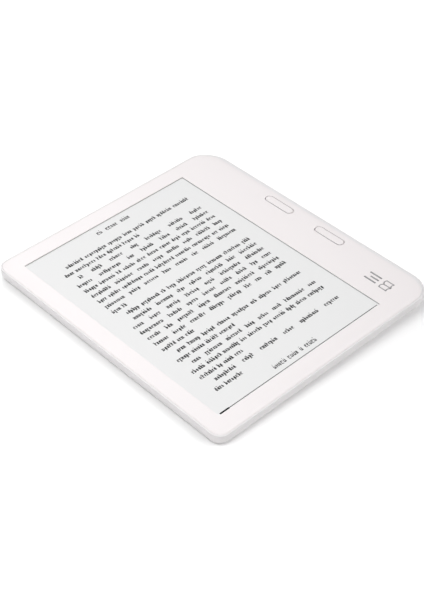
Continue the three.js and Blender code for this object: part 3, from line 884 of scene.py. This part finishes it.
def print_layer(name, strokes, z, material):
    """Strokes laid at one height, a hair thick, as one piece."""
    counts = np.array([len(part) for part in strokes])
    corners = np.concatenate(strokes).reshape(-1, 2)
    station = np.delete(np.arange(counts.sum()), counts.cumsum() - 1)
    faces = np.stack([2 * station, 2 * station + 2, 2 * station + 3, 2 * station + 1], 1)
    piece = new_piece(name, lift(corners, z), faces.tolist(), material)
    body = piece.modifiers.new("thickness", "SOLIDIFY")
    body.thickness = PRINT_THICKNESS * MM
    body.offset = -1


# header and footer: seed, centre, baseline, width and the number of signs in each word
HEADER = (31, -9.1, 64.5, 21.5, (2, 5, 4))
FOOTER = (47, -9.4, -66.05, 28.0, (5, 4, 1, 5))

# progress line, and its done part
BAR_X0 = -60.9
BAR_X1 = 42.6
BAR_Y = -68.97
BAR_WEIGHT = 0.38
BAR_DONE_X = -55.3
BAR_DONE_WEIGHT = 1.0


def page():
    """What the screen shows: header, column, footer, and a progress line with its done part."""
    strokes = body_lines()
    strokes += running_line(*HEADER)
    strokes += running_line(*FOOTER)
    for end, weight in ((BAR_X1, BAR_WEIGHT), (BAR_DONE_X, BAR_DONE_WEIGHT)):
        strokes.append(stroke([(BAR_X0, BAR_Y), (end, BAR_Y)], weight))
    print_layer("page_ink", strokes, PAGE_Z, page_ink)


# ---------------------------------------------------------------- the mark on the grip

MARK_CENTRE = (55.6, -63.6)
MARK_WEIGHT = 0.62
RULE_LENGTHS = (7.4, 5.2, 7.4)
RULE_STEP = 2.3
RULE_FOOT = -58.4
RULE_WEIGHT = 0.95


def grip_mark():
    """A plain open-book sign with three rules above it, printed on the grip, reading up the page."""
    cx, cy = MARK_CENTRE
    weight = MARK_WEIGHT
    strokes = []
    t = np.linspace(0, 1, 9)
    for side in (-1, 1):
        leaf_x = cx + side * 3.0 * t
        swell = 0.9 * np.sin(t * math.pi * 0.8)
        strokes.append(stroke(np.stack([leaf_x, cy - 2.6 + swell], 1), weight))
        strokes.append(stroke(np.stack([leaf_x, cy + 1.9 + swell], 1), weight))
        strokes.append(stroke([(cx + side * 3.0, cy - 2.3), (cx + side * 3.0, cy + 2.6)], weight))
    strokes.append(stroke([(cx, cy - 2.8), (cx, cy + 2.1)], weight))
    for index, length in enumerate(RULE_LENGTHS):
        x = cx + (index - 1) * RULE_STEP
        strokes.append(stroke([(x, RULE_FOOT), (x, RULE_FOOT + length)], RULE_WEIGHT))
    print_layer("grip_mark", strokes, FACE_Z + PRINT_LIFT, mark_grey)


# ---------------------------------------------------------------- finishes of the frame's own nodes

NODE_FINISH = {
    "screen_film": page_paper,
    "panel": grained("panel_back", (0.62, 0.62, 0.6), 0.6),
    "clear_plastic": grained("clear_plastic", (0.78, 0.82, 0.83), 0.15, grain=1500, depth=0.000004),
    "black_foam": grained("black_foam", (0.02, 0.02, 0.02), 0.9, grain=2500, depth=0.00008),
    "silicone": grained("silicone", (0.34, 0.34, 0.33), 0.6),
    "magnesium": grained("magnesium", (0.42, 0.43, 0.44), 0.48, metallic=0.9, drift=0.1),
    "steel": grained("plated_steel", (0.6, 0.61, 0.62), 0.28, metallic=1.0, grain=2500, depth=0.00001),
    "circuit_board": grained("solder_mask", (0.012, 0.09, 0.05), 0.35, grain=1500, drift=0.25),
    "chip_black": grained("chip_epoxy", (0.014, 0.014, 0.016), 0.5, drift=0.2),
    "flex_film": grained("flex_film", (0.36, 0.15, 0.03), 0.3, drift=0.15),
    "connector_plastic": grained("connector_plastic", (0.62, 0.57, 0.46), 0.5),
    "battery_pouch": grained("battery_pouch", (0.5, 0.51, 0.52), 0.35, metallic=0.8, grain=1200),
    "cable_black": grained("cable_black", (0.02, 0.02, 0.022), 0.5),
    "magnet_nickel": grained("magnet_nickel", (0.62, 0.61, 0.58), 0.22, metallic=1.0),
    "bezel_plastic": bezel_plastic,
    "shell_plastic": shell_plastic,
    "button_plastic": button_plastic,
}


def finish_nodes():
    """Gives every frame node the finish of its record slot."""
    for row in frame["record"]["subparts"]:
        node = frame["nodes"][row["node"]]
        node.data.materials.clear()
        node.data.materials.append(NODE_FINISH[row["material_slot"]])


# ---------------------------------------------------------------- stage, light and camera

def floor_distance(tree, place, centre_x, half_x, half_y):
    """Distance on the floor outwards from a rectangle, given in millimetres, as metres."""
    parts = tree.nodes.new("ShaderNodeSeparateXYZ")
    tree.links.new(place, parts.inputs[0])
    squares = []
    for axis, centre, half in (("X", centre_x, half_x), ("Y", 0.0, half_y)):
        moved = math_node(tree, "SUBTRACT", parts.outputs[axis], centre * MM)
        over = math_node(tree, "SUBTRACT", math_node(tree, "ABSOLUTE", moved), half * MM)
        outside = math_node(tree, "MAXIMUM", over, 0.0)
        squares.append(math_node(tree, "MULTIPLY", outside, outside))
    return math_node(tree, "SQRT", math_node(tree, "ADD", *squares))


def fade(tree, value, start, end, first, last):
    """A value's change from one number to another, between two distances in metres."""
    node = tree.nodes.new("ShaderNodeMapRange")
    node.inputs["From Min"].default_value = start
    node.inputs["From Max"].default_value = end
    node.inputs["To Min"].default_value = first
    node.inputs["To Max"].default_value = last
    tree.links.new(value, node.inputs["Value"])
    return node.outputs["Result"]


def stage_floor():
    """A pale floor, turned about Y until it touches the grip's back and the screen side's lower edge,
    which is how the wedge-shaped reader lies on a table. It can be seen through from below."""
    touch_z = np.array([THIN_Z, 0.0]) - FLOOR_GAP
    slope = (touch_z[1] - touch_z[0]) / (FLOOR_TOUCH_X[1] - FLOOR_TOUCH_X[0])
    far = FLOOR_REACH
    corners = [(x, y, touch_z[1] + slope * (x - FLOOR_TOUCH_X[1])) for x, y in (
        (-far, -far), (far, -far), (far, far), (-far, far))]
    mesh = bpy.data.meshes.new("floor")
    mesh.from_pydata((np.array(corners) * MM).tolist(), [], [(0, 1, 2, 3)])
    material, tree, bsdf = base_material("floor_white", FLOOR_TONE, 0.9, specular=0.1)
    bsdf.inputs["Emission Color"].default_value = (1, 1, 1, 1)
    place = tree.nodes.new("ShaderNodeTexCoord")
    from_middle = tree.nodes.new("ShaderNodeVectorMath")
    from_middle.operation = "LENGTH"
    tree.links.new(place.outputs["Object"], from_middle.inputs[0])
    beside = floor_distance(tree, place.outputs["Object"], SHADE_X, *SHADE_HALF)
    clearing = fade(tree, beside, SHADE_START * MM, SHADE_END * MM, 0.0, 1.0)
    tone = mix_colors(tree, clearing, SHADE_TONE, FLOOR_TONE)
    tree.links.new(tone, bsdf.inputs["Base Color"])
    glow = fade(tree, from_middle.outputs["Value"], GLOW_START * MM, GLOW_END * MM, NEAR_GLOW, FAR_GLOW)
    below = floor_distance(tree, place.outputs["Object"], 0.0, *UNDER_HALF)
    under = fade(tree, below, UNDER_START * MM, UNDER_END * MM, UNDER_GLOW, 0.0)
    tree.links.new(math_node(tree, "ADD", glow, under), bsdf.inputs["Emission Strength"])
    clear = tree.nodes.new("ShaderNodeBsdfTransparent")
    side = tree.nodes.new("ShaderNodeNewGeometry")
    one_sided = tree.nodes.new("ShaderNodeMixShader")
    tree.links.new(side.outputs["Backfacing"], one_sided.inputs["Fac"])
    tree.links.new(bsdf.outputs["BSDF"], one_sided.inputs[1])
    tree.links.new(clear.outputs["BSDF"], one_sided.inputs[2])
    tree.links.new(one_sided.outputs["Shader"], tree.nodes["Material Output"].inputs["Surface"])
    mesh.materials.append(material)
    floor = bpy.data.objects.new("floor", mesh)
    bpy.context.collection.objects.link(floor)


ROOM_STRENGTH = 0.39
KEY_PLACE = (-0.2, 0.0, 0.4)
KEY_SIZE = 0.35
KEY_ENERGY = 1.06
BACK_PLACE = (0.25, 0.6, 0.6)
BACK_SIZE = 0.45
BACK_ENERGY = 2.02
SIDE_PLACE = (0.8, -0.8, 1.0)
SIDE_SIZE = 0.9
SIDE_ENERGY = 5.84

# floor: where it touches the body, how far it goes, its tone, and its glow near the body and far off
FLOOR_TOUCH_X = (-66.0, 33.0)
FLOOR_GAP = 0.02
FLOOR_REACH = 3000.0
FLOOR_TONE = (0.94, 0.94, 0.94)
NEAR_GLOW = 0.10
FAR_GLOW = 0.58
GLOW_START = 100.0
GLOW_END = 600.0

# a soft shade beside the body's foot, and a glow under its middle that shows its back from below
SHADE_TONE = (0.76, 0.76, 0.76)
SHADE_X = -1.0
SHADE_HALF = (66.3, 69.0)
SHADE_START = 6.0
SHADE_END = 12.5
UNDER_GLOW = 0.16
UNDER_HALF = (58.0, 66.0)
UNDER_START = 4.0
UNDER_END = 12.0


def soft_light(name, place, size, energy):
    """A round area light that faces the origin."""
    data = bpy.data.lights.new(name, "AREA")
    data.shape = "DISK"
    data.size = size
    data.energy = energy
    light = bpy.data.objects.new(name, data)
    light.location = place
    light.rotation_mode = "QUATERNION"
    light.rotation_quaternion = (-light.location).to_track_quat("-Z", "Y")
    bpy.context.collection.objects.link(light)


def lights():
    """A white room with three soft lights: over the screen's side, behind the top, beside the grip."""
    world = bpy.data.worlds.new("white_room")
    world.use_nodes = True
    background = world.node_tree.nodes["Background"]
    tree = world.node_tree
    seen = tree.nodes.new("ShaderNodeLightPath")
    strength = tree.nodes.new("ShaderNodeMapRange")
    strength.inputs["To Min"].default_value = ROOM_STRENGTH
    strength.inputs["To Max"].default_value = 1.0
    tree.links.new(seen.outputs["Is Camera Ray"], strength.inputs["Value"])
    tree.links.new(strength.outputs["Result"], background.inputs["Strength"])
    background.inputs["Color"].default_value = (1.0, 1.0, 1.0, 1)
    bpy.context.scene.world = world
    soft_light("screen_side_light", KEY_PLACE, KEY_SIZE, KEY_ENERGY)
    soft_light("back_light", BACK_PLACE, BACK_SIZE, BACK_ENERGY)
    soft_light("grip_side_light", SIDE_PLACE, SIDE_SIZE, SIDE_ENERGY)


CAMERA_PLACE = (-343.2, -371.6, 445.9)
CAMERA_FORWARD = (0.5047, 0.5484, -0.6667)
CAMERA_UP = (0.4623, 0.4806, 0.7452)
CAMERA_LENS = 81.8


def camera():
    """The viewing camera, by its place, the direction it looks in and its upward direction."""
    data = bpy.data.cameras.new("view_camera")
    data.lens = CAMERA_LENS
    data.clip_start = 0.01
    data.clip_end = 50
    eye = bpy.data.objects.new("view_camera", data)
    forward = Vector(CAMERA_FORWARD).normalized()
    right = forward.cross(Vector(CAMERA_UP)).normalized()
    up = right.cross(forward)
    turn = Matrix((right, up, -forward)).transposed().to_4x4()
    eye.matrix_world = Matrix.Translation(Vector(CAMERA_PLACE) * MM) @ turn
    bpy.context.collection.objects.link(eye)
    bpy.context.scene.camera = eye


camera()
rear_shell()
front_bezel()
window_seal_and_shade()
for button in BUTTONS:
    page_button(button)
power_button()
page()
grip_mark()
finish_nodes()
stage_floor()
lights()
bpy.context.scene.view_settings.view_transform = "Standard"
